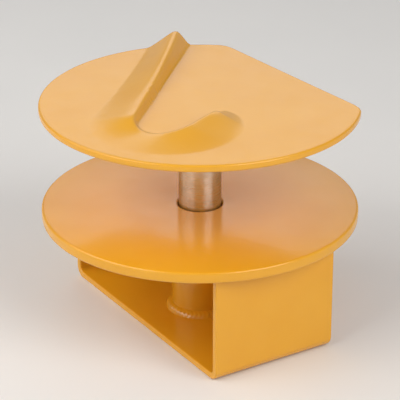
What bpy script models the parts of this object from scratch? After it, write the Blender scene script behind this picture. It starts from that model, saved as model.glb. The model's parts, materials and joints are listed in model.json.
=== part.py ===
"""Trailer coupler lock: two steel discs close the hole of a trailer's ring-shaped coupler eye.

The upper disc carries a post that drops through the eye and the lower disc into a sleeve. A bent
channel under the lower disc guards the sleeve. Along the channel lies a push-to-lock cylinder whose
bolt enters the post's groove.

Frame: metres, +Z up, origin on the post's axis in the underside of the guard's floor. +X points
along the channel to the trailer's side. All sizes below are in millimetres and are scaled by MM
where a mesh is made.
"""

import math

import bmesh
import bpy
from mathutils import Matrix, Vector

MM = 0.001
GAP = 0.3                    # clearance between neighbouring pieces

# Discs
FLANGE_TOP = 53.5            # the face the trailer's eye rests on
EYE_GAP = 45.5               # free height between the discs, for an eye about 41 thick
TOP_RADIUS = 70.0
TOP_SHEET = 3.0
TOP_FLAT_X = 51.0            # straight cut, nearly on the trailer's side
TOP_EDGE = 0.5                          # eased edge of the disc
TOP_SIDES = 120                         # of the polygon that stands for the round outline
TOP_TURN = math.radians(4.5)            # how far the swivelling disc stands turned at rest
FLANGE_RADIUS = 70.0
FLANGE_BOTTOM = FLANGE_TOP - 5.0
PLATE_BOTTOM = FLANGE_TOP + EYE_GAP
RIM_CHAMFER = 0.8
HOLE_CHAMFER = 0.5

# Pressed ridge in the top disc: a hook with a long leg, a turn and a short leg. Places are in the
# disc's own turned frame. Inside the hook the ridge is steep, and on its outer side it falls gently.
HOOK_FOOT = Vector((38.5, 59.5))        # where the ridge's inner foot meets the rim
HOOK_TURN_AT = Vector((-35.0, -3.5))    # where it starts to turn back
HOOK_RADIUS = 11.5
HOOK_ANGLE = math.radians(157.0)
HOOK_LAST = 27.0                        # length of the short leg
RIDGE_HEIGHTS = (7.0, 3.2, 0.7, 3.3, 3.6, 2.6)     # rim, turn's start, dip and end, short leg
RIDGE_INNER = (6.5, 2.0)                # width of its steep side, at the rim and from the turn on
RIDGE_OUTER = (12.0, 18.0, 20.0)        # width of its gentle side, at the rim, at the turn and after
RIDGE_ROUNDING = 2.2                    # of its crest
RIDGE_SLOPES = (1.1, 1.2)               # how hollow the steep and the gentle side are
RIDGE_TIP_SHARE = 1.0 / 3.0             # of the short leg, over which it runs out
RIDGE_DIP_SHARE = 0.4                   # of the turn, at which the ridge is lowest
GRID_RUN = 4.0                          # steps of the disc's grid along the ridge
GRID_STEEP, GRID_GENTLE, GRID_FLAT = 1.5, 3.0, 6.5      # and across it
GRID_MARGIN = 6.0                       # by which the grid passes the outline before clipping
WELD_DISTANCE = 0.05                    # corners nearer than this become one

# Guard channel
GUARD_HALF_WIDTH = 60.5      # outer faces of its walls, along Y
GUARD_HALF_LENGTH = 30.0     # along X
GUARD_SHEET = 3.0
GUARD_BEND = 5.0             # outer radius of its bends
GUARD_EDGE = 0.4

# Post and sleeve
POST_RADIUS = 9.5
POST_HOLE = 9.9
POST_TIP = 17.0
POST_TIP_CHAMFER = 2.0
POST_GROOVE_RADIUS = 5.6
POST_GROOVE_EDGE = 0.4
SLEEVE_RADIUS = 12.7
SEAL_Z = FLANGE_TOP - 8.0
SEAL_MINOR = 0.72
SEAL_MAJOR = 8.85
SEAL_SPACE = 0.25            # free room beside a rubber ring in its groove

# Lock cylinder. Distances along it are measured from the post's axis towards -X.
LOCK_Z = FLANGE_BOTTOM - 10.5
BARREL_RADIUS = 10.0
BARREL_BORE = 8.2
BARREL_MOUTH = 34.6
BARREL_ROOT = 6.0            # inside the sleeve, before the barrel is coped to it
BARREL_EDGE = 0.5
SHELL_RADIUS = 7.9
SHELL_REAR = 22.0
SHELL_FRONT = 39.7
SHELL_NECK = 7.15            # under the face cap
SHELL_EDGE = 0.3
CAP_REAR = 37.3
CAP_FRONT = 40.6
CAP_WALL = 0.45
CAP_EDGE = 0.6
PLUG_RADIUS = 4.3
PLUG_BORE = 4.6
PLUG_REAR = 27.7
PLUG_FRONT = 40.3
CHAMBER_RADIUS = 6.4         # room for the cam behind the plug
CHAMBER_FRONT = 28.0
TAIL_RADIUS = 1.6
TAIL_END = 24.5
TAIL_GROOVE = 0.5            # depth of the clip's groove
BOLT_RADIUS = 4.0
BOLT_TIP = 12.0
BOLT_FLANGE = 6.1
BOLT_FLANGE_END = 24.2
BOLT_HOLE = 4.4
BOLT_EDGE = 0.8
PUSH_TRAVEL = 6.0
SHELL_SEAL_AT = 33.6
SHELL_SEAL_MINOR = 0.7
SHELL_SEAL_MAJOR = 7.3

# Key turn and detent
BALL_RADIUS = 1.2
BALL_AT = 26.65
BALL_REST = 6.45             # its centre's distance from the lock's axis
BALL_TRAVEL = 1.0
BALL_HOLE = 1.5
CAM_REAR = 25.9
CAM_FRONT = 27.4
CAM_BORE = 1.9
CAM_LOW = BALL_REST - BALL_RADIUS - GAP
KEY_TURN = math.radians(90.0)
WAFER_PITCH = 2.2
WAFER_FIRST = 38.2
WAFER_THICK = 1.0
WAFER_HALF_WIDTH = 2.2
WAFER_TOP = 3.55
WAFER_BOTTOM = -2.5
WAFER_CUTS = (0.0, 0.4, -0.3, 0.5, 0.1)    # heights of the windows
WAFER_WINDOW = (-1.2, 2.0)
WAFER_WINDOW_HALF = 0.8
WAFER_SLACK = 0.2
WAFER_SPRING_RADIUS = 0.4
WAFER_SPRING_WIRE = 0.1
WAFER_SPRING_LOW = -3.8
KEYWAY_HALF = 0.65
KEYWAY_TOP = 3.2
KEYWAY_BOTTOM = -2.1

# Stop screw
STOP_AT = 24.5
STOP_RADIUS = 1.25
STOP_TIP_RADIUS = 0.9
STOP_TIP = 7.4
STOP_SHOULDER = 8.4
STOP_END = 10.6
SLOT_FLOOR = 7.0
SLOT_HALF_WIDTH = 1.2
SOCKET_RADIUS = 0.75
SOCKET_DEPTH = 1.2

WELD_RADIUS = 1.2
WELD_OFFSET = WELD_RADIUS + GAP
GUARD_WELD_RADIUS = 1.5

SPRING_RADIUS = 5.6
SPRING_WIRE = 0.45
SPRING_TURNS = 3.5


def clear_scene():
    for old in list(bpy.data.objects):
        bpy.data.objects.remove(old, do_unlink=True)


def new_collection(name):
    collection = bpy.data.collections.new(name)
    bpy.context.scene.collection.children.link(collection)
    return collection


def material(name, colour, metallic, roughness, coat=0.0):
    """A Principled material."""
    made = bpy.data.materials.new(name)
    made.use_nodes = True
    shader = made.node_tree.nodes["Principled BSDF"]
    shader.inputs["Base Color"].default_value = (*colour, 1.0)
    shader.inputs["Metallic"].default_value = metallic
    shader.inputs["Roughness"].default_value = roughness
    shader.inputs["Coat Weight"].default_value = coat
    return made


def yellow(name):
    return material(name, (0.80, 0.42, 0.03), 0.0, 0.28, 0.4)


def zinc(name):
    return material(name, (0.62, 0.62, 0.60), 1.0, 0.32)


def chrome(name):
    return material(name, (0.80, 0.80, 0.80), 1.0, 0.12)


def brass(name):
    return material(name, (0.72, 0.52, 0.22), 1.0, 0.3)


def rubber(name):
    return material(name, (0.02, 0.02, 0.02), 0.0, 0.75)


def place(name, data, surface, parent=None):
    """Adds a named object to the model, with its own material."""
    made = bpy.data.objects.new(name, data)
    MODEL.objects.link(made)
    made.parent = parent
    data.materials.append(surface(name))
    return made


def axis_empty(name, location, rotation=(0.0, 0.0, 0.0), parent=None):
    made = bpy.data.objects.new(name, None)
    MODEL.objects.link(made)
    made.location = location
    made.rotation_euler = rotation
    made.parent = parent
    made.empty_display_size = 0.02
    return made


def shade_round(mesh):
    mesh.shade_smooth()
    mesh.set_sharp_from_angle(angle=math.radians(35.0))


def turned_mesh(name, profile, closed):
    """The profile's (radius, height) points, joined by edges in the XZ plane."""
    mesh = bpy.data.meshes.new(name)
    points = [(radius * MM, 0.0, height * MM) for radius, height in profile]
    edges = [(i, i + 1) for i in range(len(points) - 1)]
    if closed:
        edges.append((len(points) - 1, 0))
    mesh.from_pydata(points, edges, [])
    return mesh


def add_screw(target, steps):
    screw = target.modifiers.new("Turn", "SCREW")
    screw.steps = steps
    screw.render_steps = steps
    screw.use_merge_vertices = True
    screw.merge_threshold = 0.00001
    screw.use_smooth_shade = True


def turned(name, profile, surface, parent=None, closed=False, steps=32):
    """A turned piece about its own Z axis. A bored piece's profile is closed."""
    made = place(name, turned_mesh(name, profile, closed), surface, parent)
    add_screw(made, steps)
    return made


def as_cutter(made, parent=None):
    CUTTERS.objects.link(made)
    made.parent = parent
    made.hide_render = True
    made.display_type = "WIRE"
    return made


def box_cutter(name, low, high, parent):
    """A box between two corners, in its parent's frame."""
    mesh = bpy.data.meshes.new(name)
    shape = bmesh.new()
    bmesh.ops.create_cube(shape, size=1.0)
    size = [(b - a) * MM for a, b in zip(low, high)]
    middle = [(a + b) * 0.5 * MM for a, b in zip(low, high)]
    bmesh.ops.scale(shape, vec=size, verts=shape.verts)
    bmesh.ops.translate(shape, vec=middle, verts=shape.verts)
    shape.to_mesh(mesh)
    shape.free()
    return as_cutter(bpy.data.objects.new(name, mesh), parent)


def rod_cutter(name, radius, start, end, parent=None, segments=20):
    """A round rod between two points, in its parent's frame."""
    start, end = Vector(start) * MM, Vector(end) * MM
    mesh = bpy.data.meshes.new(name)
    shape = bmesh.new()
    bmesh.ops.create_cone(
        shape,
        cap_ends=True,
        segments=segments,
        radius1=radius * MM,
        radius2=radius * MM,
        depth=(end - start).length,
    )
    turn = (end - start).to_track_quat("Z", "Y").to_matrix().to_4x4()
    bmesh.ops.transform(shape, matrix=Matrix.Translation((start + end) / 2) @ turn, verts=shape.verts)
    shape.to_mesh(mesh)
    shape.free()
    return as_cutter(bpy.data.objects.new(name, mesh), parent)


def cut(target, cutter):
    boolean = target.modifiers.new("Cut " + cutter.name, "BOOLEAN")
    boolean.operation = "DIFFERENCE"
    boolean.solver = "EXACT"
    boolean.object = cutter


def wire(name, points, radius, surface, parent=None, cyclic=False):
    """A round bead or wire along the points."""
    curve = bpy.data.curves.new(name, "CURVE")
    curve.dimensions = "3D"
    curve.bevel_depth = radius * MM
    curve.bevel_resolution = 1
    curve.use_fill_caps = True
    line = curve.splines.new("POLY")
    line.points.add(len(points) - 1)
    for slot, point in zip(line.points, points):
        slot.co = (*(Vector(point) * MM), 1.0)
    line.use_cyclic_u = cyclic
    return place(name, curve, surface, parent)


def circle_points(radius, height, start, sweep, count):
    """Points on a level circle about Z."""
    angles = [start + sweep * i / count for i in range(count + 1)]
    points = [(radius * math.cos(a), radius * math.sin(a), height) for a in angles]
    return points[:-1] if abs(abs(sweep) - math.tau) < 1e-6 else points


def coil_points(radius, low, high, turns, per_turn):
    """Points on a coil about Z."""
    count = round(turns * per_turn)
    return [
        (
            radius * math.cos(math.tau * turns * i / count),
            radius * math.sin(math.tau * turns * i / count),
            low + (high - low) * i / count,
        )
        for i in range(count + 1)
    ]


def o_ring(name, major, minor, height, parent):
    sides = 8
    section = [
        (major + minor * math.cos(math.tau * i / sides), height - minor * math.sin(math.tau * i / sides))
        for i in range(sides)
    ]
    return turned(name, section, rubber, parent, closed=True, steps=28)


# Root body: discs, guard and sleeve


def lower_flange():
    c, h = RIM_CHAMFER, HOLE_CHAMFER
    top, bottom = FLANGE_TOP, FLANGE_BOTTOM
    turned(
        "lower_flange",
        [
            (POST_HOLE + h, top),
            (FLANGE_RADIUS - c, top),
            (FLANGE_RADIUS, top - c),
            (FLANGE_RADIUS, bottom + c),
            (FLANGE_RADIUS - c, bottom),
            (POST_HOLE, bottom),
            (POST_HOLE, top - h),
        ],
        yellow,
        closed=True,
        steps=72,
    )


def guard_channel():
    """A strip bent to a U: one open surface, thickened inwards."""
    side = [(-GUARD_HALF_WIDTH, FLANGE_BOTTOM - GAP)]
    centre = (-GUARD_HALF_WIDTH + GUARD_BEND, GUARD_BEND)
    for i in range(7):
        angle = math.pi + math.pi / 2 * i / 6
        side.append((centre[0] + GUARD_BEND * math.cos(angle), centre[1] + GUARD_BEND * math.sin(angle)))
    outline = side + [(-y, z) for y, z in reversed(side)]
    mesh = bpy.data.meshes.new("guard_channel")
    shape = bmesh.new()
    rows = [
        [shape.verts.new((x * MM, y * MM, z * MM)) for y, z in outline]
        for x in (-GUARD_HALF_LENGTH, GUARD_HALF_LENGTH)
    ]
    for i in range(len(outline) - 1):
        shape.faces.new((rows[0][i], rows[0][i + 1], rows[1][i + 1], rows[1][i]))
    bmesh.ops.recalc_face_normals(shape, faces=shape.faces)
    shape.to_mesh(mesh)
    shape.free()
    made = place("guard_channel", mesh, yellow)
    floor_face = max(mesh.polygons, key=lambda face: face.area)
    outward = floor_face.normal.z < 0
    thick = made.modifiers.new("Sheet", "SOLIDIFY")
    thick.thickness = GUARD_SHEET * MM
    thick.offset = -1.0 if outward else 1.0
    thick.use_even_offset = True
    edge = made.modifiers.new("Edges", "BEVEL")
    edge.width = GUARD_EDGE * MM
    edge.segments = 1
    edge.limit_method = "ANGLE"
    edge.angle_limit = math.radians(60.0)
    shade_round(mesh)


def guard_welds():
    reach = GUARD_HALF_LENGTH - 2.0
    z = FLANGE_BOTTOM - GUARD_WELD_RADIUS - GAP
    for name, side in (("guard_weld_left", 1), ("guard_weld_right", -1)):
        y = side * (GUARD_HALF_WIDTH - GUARD_SHEET - GUARD_WELD_RADIUS - GAP)
        wire(name, [(-reach, y, z), (reach, y, z)], GUARD_WELD_RADIUS, yellow)


def post_sleeve():
    top, bottom = FLANGE_BOTTOM - GAP, GUARD_SHEET + GAP
    made = turned(
        "post_sleeve",
        [(POST_HOLE, top), (SLEEVE_RADIUS, top), (SLEEVE_RADIUS, bottom), (POST_HOLE, bottom)],
        yellow,
        closed=True,
        steps=40,
    )
    inner, outer = POST_HOLE - 4.0, SLEEVE_RADIUS + 4.0
    cut(made, rod_cutter("bolt_window", BOLT_HOLE, (-outer, 0, LOCK_Z), (-inner, 0, LOCK_Z), segments=24))


def sleeve_welds():
    radius = SLEEVE_RADIUS + WELD_OFFSET
    low = GUARD_SHEET + WELD_OFFSET
    high = FLANGE_BOTTOM - WELD_OFFSET
    wire("sleeve_weld_lower", circle_points(radius, low, 0.0, math.tau, 36), WELD_RADIUS, yellow, cyclic=True)
    # The upper bead stops short of the barrel on both sides.
    free = math.radians(42.0)
    arc = circle_points(radius, high, -math.pi + free, math.tau - 2 * free, 30)
    wire("sleeve_weld_upper", arc, WELD_RADIUS, yellow)


def lock_barrel():
    made = turned(
        "lock_barrel",
        [
            (BARREL_BORE, BARREL_MOUTH),
            (BARREL_RADIUS - BARREL_EDGE, BARREL_MOUTH),
            (BARREL_RADIUS, BARREL_MOUTH - BARREL_EDGE),
            (BARREL_RADIUS, BARREL_ROOT),
            (BARREL_BORE, BARREL_ROOT),
        ],
        yellow,
        LOCK_FRAME,
        closed=True,
        steps=40,
    )
    cut(made, rod_cutter("barrel_cope", SLEEVE_RADIUS + GAP, (0, 0, 0), (0, 0, FLANGE_TOP), segments=64))
    inner, outer = BARREL_BORE - 2.0, BARREL_RADIUS + 2.0
    for name, along in (("window_out", BALL_AT), ("window_in", BALL_AT - PUSH_TRAVEL)):
        cut(made, rod_cutter(name, BALL_HOLE, (-along, 0, LOCK_Z - outer), (-along, 0, LOCK_Z - inner)))
    ends = [(-STOP_AT, side, LOCK_Z) for side in (inner, outer)]
    cut(made, rod_cutter("stop_hole", STOP_RADIUS + GAP, *ends))


def barrel_weld():
    """A bead that follows the saddle where the barrel meets the sleeve, left open under the disc."""
    across = BARREL_RADIUS + WELD_OFFSET
    around = SLEEVE_RADIUS + WELD_OFFSET
    start, sweep, count = math.radians(-205.0), math.radians(230.0), 36
    points = []
    for i in range(count + 1):
        angle = start + sweep * i / count
        y, z = across * math.cos(angle), LOCK_Z + across * math.sin(angle)
        points.append((-math.sqrt(around**2 - y**2), y, z))
    wire("barrel_weld", points, WELD_RADIUS, yellow)


def stop_screw():
    edge = 0.2
    made = turned(
        "stop_screw",
        [
            (0.0, STOP_END),
            (STOP_RADIUS - edge, STOP_END),
            (STOP_RADIUS, STOP_END - edge),
            (STOP_RADIUS, STOP_SHOULDER),
            (STOP_TIP_RADIUS, STOP_SHOULDER - edge),
            (STOP_TIP_RADIUS, STOP_TIP),
            (0.0, STOP_TIP),
        ],
        zinc,
        axis_empty("stop_screw_axis", (-STOP_AT * MM, 0.0, LOCK_Z * MM), (-math.pi / 2, 0.0, 0.0)),
        steps=20,
    )
    floor, mouth = (-STOP_AT, STOP_END - SOCKET_DEPTH, LOCK_Z), (-STOP_AT, STOP_END + 1.0, LOCK_Z)
    cut(made, rod_cutter("hex_socket", SOCKET_RADIUS, floor, mouth, segments=6))


def return_spring():
    low = SLEEVE_RADIUS + GAP / 2 + SPRING_WIRE
    high = SHELL_REAR - GAP - SPRING_WIRE
    coil = coil_points(SPRING_RADIUS, low, high, SPRING_TURNS, 14)
    wire("return_spring", coil, SPRING_WIRE, zinc, LOCK_FRAME)


# Top: the pressed disc and its post


def blend(start, end, share):
    share = min(max(share, 0.0), 1.0)
    return start + (end - start) * share


def ease(start, end, share):
    """From start to end with no kink at either."""
    share = min(max(share, 0.0), 1.0)
    return start + (end - start) * share**2 * (3.0 - 2.0 * share)


def ridge_height(x, y):
    """Height of the pressed ridge over the flat sheet."""
    point = Vector((x, y))
    first = (HOOK_TURN_AT - HOOK_FOOT).normalized()
    length = (HOOK_TURN_AT - HOOK_FOOT).length
    centre = HOOK_TURN_AT + Vector((-first.y, first.x)) * HOOK_RADIUS
    heading = math.atan2(first.y, first.x) + HOOK_ANGLE
    last = Vector((math.cos(heading), math.sin(heading)))
    last_start = centre + Vector((last.y, -last.x)) * HOOK_RADIUS
    spoke = point - centre
    angle = (math.atan2(spoke.y, spoke.x) - math.atan2(-first.x, first.y)) % math.tau
    along = (point - HOOK_FOOT).dot(first)
    on_last = (point - last_start).dot(last)
    last_side = (point - last_start).dot(Vector((last.y, -last.x)))
    rim_high, turn_high, dip_high, end_high, last_high, tip_high = RIDGE_HEIGHTS
    outer_rim, outer_turn, outer_last = RIDGE_OUTER
    share = 1.0                                     # of the long leg that has been passed
    if along >= length and angle <= HOOK_ANGLE:
        side = spoke.length - HOOK_RADIUS
        turned = angle / HOOK_ANGLE
        if turned < RIDGE_DIP_SHARE:
            height = ease(turn_high, dip_high, turned / RIDGE_DIP_SHARE)
        else:
            height = ease(dip_high, end_high, (turned - RIDGE_DIP_SHARE) / (1.0 - RIDGE_DIP_SHARE))
        outer = blend(outer_turn, outer_last, turned)
    elif on_last > 0.0 and last_side > 0.0:
        side = last_side
        end = on_last / HOOK_LAST
        if end >= 1.0:
            return 0.0
        if end < 0.5:
            height = ease(end_high, last_high, 2.0 * end)
        else:
            height = ease(last_high, tip_high, 2.0 * end - 1.0)
        height *= min(1.0, (1.0 - end) / RIDGE_TIP_SHARE)
        outer = outer_last * math.sqrt(1.0 - end**2)
    elif along < length:
        side = (point - HOOK_FOOT).dot(Vector((first.y, -first.x)))
        share = max(along / length, 0.0)
        height = ease(rim_high, turn_high, share)
        outer = blend(outer_rim, outer_turn, share)
    else:
        return 0.0
    if side <= 0.0:
        return 0.0
    inner_rim, inner_turn = RIDGE_INNER
    inner = blend(inner_turn, inner_rim, (1.0 - share) ** 3)
    steep, gentle = RIDGE_SLOPES
    width, power = (inner, steep) if side < inner else (outer, gentle)
    rounded = math.hypot(side - inner, RIDGE_ROUNDING) - RIDGE_ROUNDING
    fall = rounded / (math.hypot(width, RIDGE_ROUNDING) - RIDGE_ROUNDING)
    return height * max(1.0 - fall, 0.0) ** power


def spaced(start, end, step):
    """Values from start to end in equal steps near the given step."""
    count = round((end - start) / step)
    return [start + (end - start) * i / count for i in range(count)]


def top_plate():
    """A grid laid along the ridge, clipped to the disc's outline and given a thickness."""
    along = (HOOK_TURN_AT - HOOK_FOOT).normalized()
    outward = Vector((along.y, -along.x))
    reach = TOP_RADIUS + GRID_MARGIN
    middle_along, middle_across = -HOOK_FOOT.dot(along), -HOOK_FOOT.dot(outward)
    outer_last = RIDGE_OUTER[-1]
    crest, gentle_foot = RIDGE_INNER[0], RIDGE_INNER[0] + outer_last
    turned_back = -2.0 * HOOK_RADIUS - outer_last
    runs = spaced(middle_along - reach, middle_along + reach, GRID_RUN) + [middle_along + reach]
    across = spaced(middle_across - reach, turned_back, GRID_FLAT)
    across += spaced(turned_back, 0.0, GRID_GENTLE)
    across += spaced(0.0, 2.0 * crest, GRID_STEEP)
    across += spaced(2.0 * crest, gentle_foot, GRID_GENTLE)
    across += spaced(gentle_foot, middle_across + reach, GRID_FLAT)
    across.append(middle_across + reach)
    level = PLATE_BOTTOM + TOP_SHEET
    shape = bmesh.new()

    def corner(run, side):
        x, y = HOOK_FOOT + along * run + outward * side
        return shape.verts.new((x, y, level + ridge_height(x, y)))

    rows = [[corner(run, side) for side in across] for run in runs]
    for row, following in zip(rows, rows[1:]):
        for i in range(len(across) - 1):
            shape.faces.new((row[i], row[i + 1], following[i + 1], following[i]))
    shape.normal_update()
    if sum(face.normal.z for face in shape.faces) < 0:
        bmesh.ops.reverse_faces(shape, faces=shape.faces)

    # Clipped just inside the outline, which leaves room for the eased edge.
    inset = TOP_RADIUS - TOP_EDGE
    apothem = inset * math.cos(math.pi / TOP_SIDES)
    planes = [(TOP_FLAT_X - TOP_EDGE, 0.0)]
    planes += [(apothem, math.tau * (i + 0.5) / TOP_SIDES) for i in range(TOP_SIDES)]
    for distance, angle in planes:
        normal = Vector((math.cos(angle), math.sin(angle), 0.0))
        geometry = shape.verts[:] + shape.edges[:] + shape.faces[:]
        bmesh.ops.bisect_plane(
            shape, geom=geometry, plane_co=normal * distance, plane_no=normal, clear_outer=True
        )
    bmesh.ops.remove_doubles(shape, verts=shape.verts, dist=WELD_DISTANCE)

    straight = math.sqrt(TOP_RADIUS**2 - TOP_FLAT_X**2)
    inset_straight = math.sqrt(inset**2 - (TOP_FLAT_X - TOP_EDGE) ** 2)

    def outline(vert):
        x, y, z = vert.co
        if x > TOP_FLAT_X - TOP_EDGE - WELD_DISTANCE:
            return Vector((TOP_FLAT_X, y * straight / inset_straight, z))
        return Vector((x * TOP_RADIUS / inset, y * TOP_RADIUS / inset, z))

    rim = [edge.link_loops[0] for edge in shape.edges if edge.is_boundary]
    rim = [(loop.vert, loop.link_loop_next.vert) for loop in rim]
    top_faces = [list(face.verts) for face in shape.faces]
    bottom = {vert: shape.verts.new(vert.co - Vector((0, 0, TOP_SHEET))) for vert in shape.verts[:]}
    rim_verts = list(dict.fromkeys(vert for pair in rim for vert in pair))
    eased = Vector((0, 0, TOP_EDGE))
    upper = {vert: shape.verts.new(outline(vert) - eased) for vert in rim_verts}
    lower = {vert: shape.verts.new(outline(bottom[vert]) + eased) for vert in rim_verts}
    for face in top_faces:
        shape.faces.new([bottom[vert] for vert in reversed(face)])
    for start, end in rim:
        shape.faces.new((start, upper[start], upper[end], end))
        shape.faces.new((upper[start], lower[start], lower[end], upper[end]))
        shape.faces.new((lower[start], bottom[start], bottom[end], lower[end]))
    bmesh.ops.scale(shape, vec=(MM, MM, MM), verts=shape.verts)
    mesh = bpy.data.meshes.new("top_plate")
    shape.to_mesh(mesh)
    shape.free()
    shade_round(mesh)
    place("top_plate", mesh, yellow, TOP_AXIS)


def locking_post():
    groove_half = BOLT_RADIUS + 0.6
    edge = POST_GROOVE_EDGE
    seal_half = SEAL_MINOR + SEAL_SPACE
    seal_floor = SEAL_MAJOR - SEAL_MINOR - SEAL_SPACE
    turned(
        "locking_post",
        [
            (0.0, PLATE_BOTTOM - GAP),
            (POST_RADIUS, PLATE_BOTTOM - GAP),
            (POST_RADIUS, SEAL_Z + seal_half),
            (seal_floor, SEAL_Z + seal_half),
            (seal_floor, SEAL_Z - seal_half),
            (POST_RADIUS, SEAL_Z - seal_half),
            (POST_RADIUS, LOCK_Z + groove_half + edge),
            (POST_RADIUS - edge, LOCK_Z + groove_half),
            (POST_GROOVE_RADIUS, LOCK_Z + groove_half),
            (POST_GROOVE_RADIUS, LOCK_Z - groove_half),
            (POST_RADIUS - edge, LOCK_Z - groove_half),
            (POST_RADIUS, LOCK_Z - groove_half - edge),
            (POST_RADIUS, POST_TIP + POST_TIP_CHAMFER),
            (POST_RADIUS - POST_TIP_CHAMFER, POST_TIP),
            (0.0, POST_TIP),
        ],
        zinc,
        TOP_AXIS,
        steps=40,
    )


def post_weld():
    radius = POST_RADIUS + WELD_OFFSET
    ring = circle_points(radius, PLATE_BOTTOM - WELD_OFFSET, 0.0, math.tau, 36)
    wire("post_weld", ring, WELD_RADIUS, yellow, TOP_AXIS, cyclic=True)


# Lock cylinder


def lock_shell():
    groove_half = SHELL_SEAL_MINOR + SEAL_SPACE
    groove_floor = SHELL_SEAL_MAJOR - SHELL_SEAL_MINOR - GAP
    made = turned(
        "lock_shell",
        [
            (PLUG_BORE, SHELL_FRONT),
            (SHELL_NECK, SHELL_FRONT),
            (SHELL_NECK, CAP_REAR - GAP),
            (SHELL_RADIUS, CAP_REAR - GAP),
            (SHELL_RADIUS, SHELL_SEAL_AT + groove_half),
            (groove_floor, SHELL_SEAL_AT + groove_half),
            (groove_floor, SHELL_SEAL_AT - groove_half),
            (SHELL_RADIUS, SHELL_SEAL_AT - groove_half),
            (SHELL_RADIUS, SHELL_REAR + SHELL_EDGE),
            (SHELL_RADIUS - SHELL_EDGE, SHELL_REAR),
            (CHAMBER_RADIUS, SHELL_REAR),
            (CHAMBER_RADIUS, CHAMBER_FRONT),
            (PLUG_BORE, CHAMBER_FRONT),
        ],
        zinc,
        PLUNGER_AXIS,
        closed=True,
        steps=36,
    )
    inner, outer = CHAMBER_RADIUS - 1.4, SHELL_RADIUS + 2.1
    cut(made, rod_cutter("ball_hole", BALL_HOLE, (-inner, 0, BALL_AT), (-outer, 0, BALL_AT), PLUNGER_AXIS))
    reach = STOP_TIP_RADIUS + GAP
    slot = box_cutter(
        "stop_slot",
        (-SLOT_HALF_WIDTH, SLOT_FLOOR, STOP_AT - reach),
        (SLOT_HALF_WIDTH, SHELL_RADIUS + 1.0, STOP_AT + PUSH_TRAVEL + reach),
        PLUNGER_AXIS,
    )
    cut(made, slot)


def face_cap():
    turned(
        "face_cap",
        [
            (PLUG_BORE, CAP_FRONT),
            (SHELL_RADIUS - CAP_EDGE, CAP_FRONT),
            (SHELL_RADIUS, CAP_FRONT - CAP_EDGE),
            (SHELL_RADIUS, CAP_REAR),
            (SHELL_RADIUS - CAP_WALL, CAP_REAR),
            (SHELL_RADIUS - CAP_WALL, SHELL_FRONT + GAP),
            (PLUG_BORE, SHELL_FRONT + GAP),
        ],
        chrome,
        PLUNGER_AXIS,
        closed=True,
        steps=36,
    )


def locking_bolt():
    turned(
        "locking_bolt",
        [
            (0.0, BOLT_FLANGE_END),
            (BOLT_FLANGE, BOLT_FLANGE_END),
            (BOLT_FLANGE, SHELL_REAR),
            (BOLT_RADIUS, SHELL_REAR),
            (BOLT_RADIUS, BOLT_TIP + BOLT_EDGE),
            (BOLT_RADIUS - BOLT_EDGE, BOLT_TIP),
            (0.0, BOLT_TIP),
        ],
        zinc,
        PLUNGER_AXIS,
        steps=28,
    )


def key_plug():
    edge = 0.3
    clip_floor = TAIL_RADIUS - TAIL_GROOVE
    clip_front, clip_rear = CAM_REAR - 0.15, TAIL_END + 0.25
    made = turned(
        "key_plug",
        [
            (0.0, PLUG_FRONT),
            (PLUG_RADIUS - edge, PLUG_FRONT),
            (PLUG_RADIUS, PLUG_FRONT - edge),
            (PLUG_RADIUS, PLUG_REAR),
            (TAIL_RADIUS, PLUG_REAR),
            (TAIL_RADIUS, clip_front),
            (clip_floor, clip_front),
            (clip_floor, clip_rear),
            (TAIL_RADIUS, clip_rear),
            (TAIL_RADIUS, TAIL_END),
            (0.0, TAIL_END),
        ],
        brass,
        KEY_AXIS,
        steps=28,
    )
    keyway = box_cutter(
        "keyway",
        (KEYWAY_BOTTOM, -KEYWAY_HALF, PLUG_REAR + 0.8),
        (KEYWAY_TOP, KEYWAY_HALF, PLUG_FRONT + 1.0),
        KEY_AXIS,
    )
    cut(made, keyway)
    for i in range(len(WAFER_CUTS)):
        at = WAFER_FIRST - i * WAFER_PITCH
        half = WAFER_THICK / 2 + WAFER_SLACK
        low = (-PLUG_RADIUS - 1.0, -WAFER_HALF_WIDTH - GAP, at - half)
        high = (PLUG_RADIUS + 1.0, WAFER_HALF_WIDTH + GAP, at + half)
        cut(made, box_cutter(f"wafer_slot_{i + 1}", low, high, KEY_AXIS))


def wafers():
    """Flat tumblers, each with its own window height, and the little spring under each."""
    for i, lift in enumerate(WAFER_CUTS):
        at = WAFER_FIRST - i * WAFER_PITCH
        mesh = bpy.data.meshes.new(f"wafer_{i + 1}")
        shape = bmesh.new()
        bmesh.ops.create_cube(shape, size=1.0)
        size = (WAFER_TOP - WAFER_BOTTOM, 2 * WAFER_HALF_WIDTH, WAFER_THICK)
        middle = ((WAFER_TOP + WAFER_BOTTOM) / 2, 0.0, at)
        bmesh.ops.scale(shape, vec=[side * MM for side in size], verts=shape.verts)
        bmesh.ops.translate(shape, vec=[side * MM for side in middle], verts=shape.verts)
        shape.to_mesh(mesh)
        shape.free()
        made = place(f"wafer_{i + 1}", mesh, brass, KEY_AXIS)
        low = (WAFER_WINDOW[0] + lift, -WAFER_WINDOW_HALF, at - WAFER_THICK)
        high = (WAFER_WINDOW[1] + lift, WAFER_WINDOW_HALF, at + WAFER_THICK)
        cut(made, box_cutter(f"wafer_window_{i + 1}", low, high, KEY_AXIS))
        spring_top = WAFER_BOTTOM - GAP - WAFER_SPRING_WIRE
        coil = coil_points(WAFER_SPRING_RADIUS, WAFER_SPRING_LOW, spring_top, 2.5, 8)
        points = [(height, y, x + at) for x, y, height in coil]
        wire(f"wafer_spring_{i + 1}", points, WAFER_SPRING_WIRE, zinc, KEY_AXIS)


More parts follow.
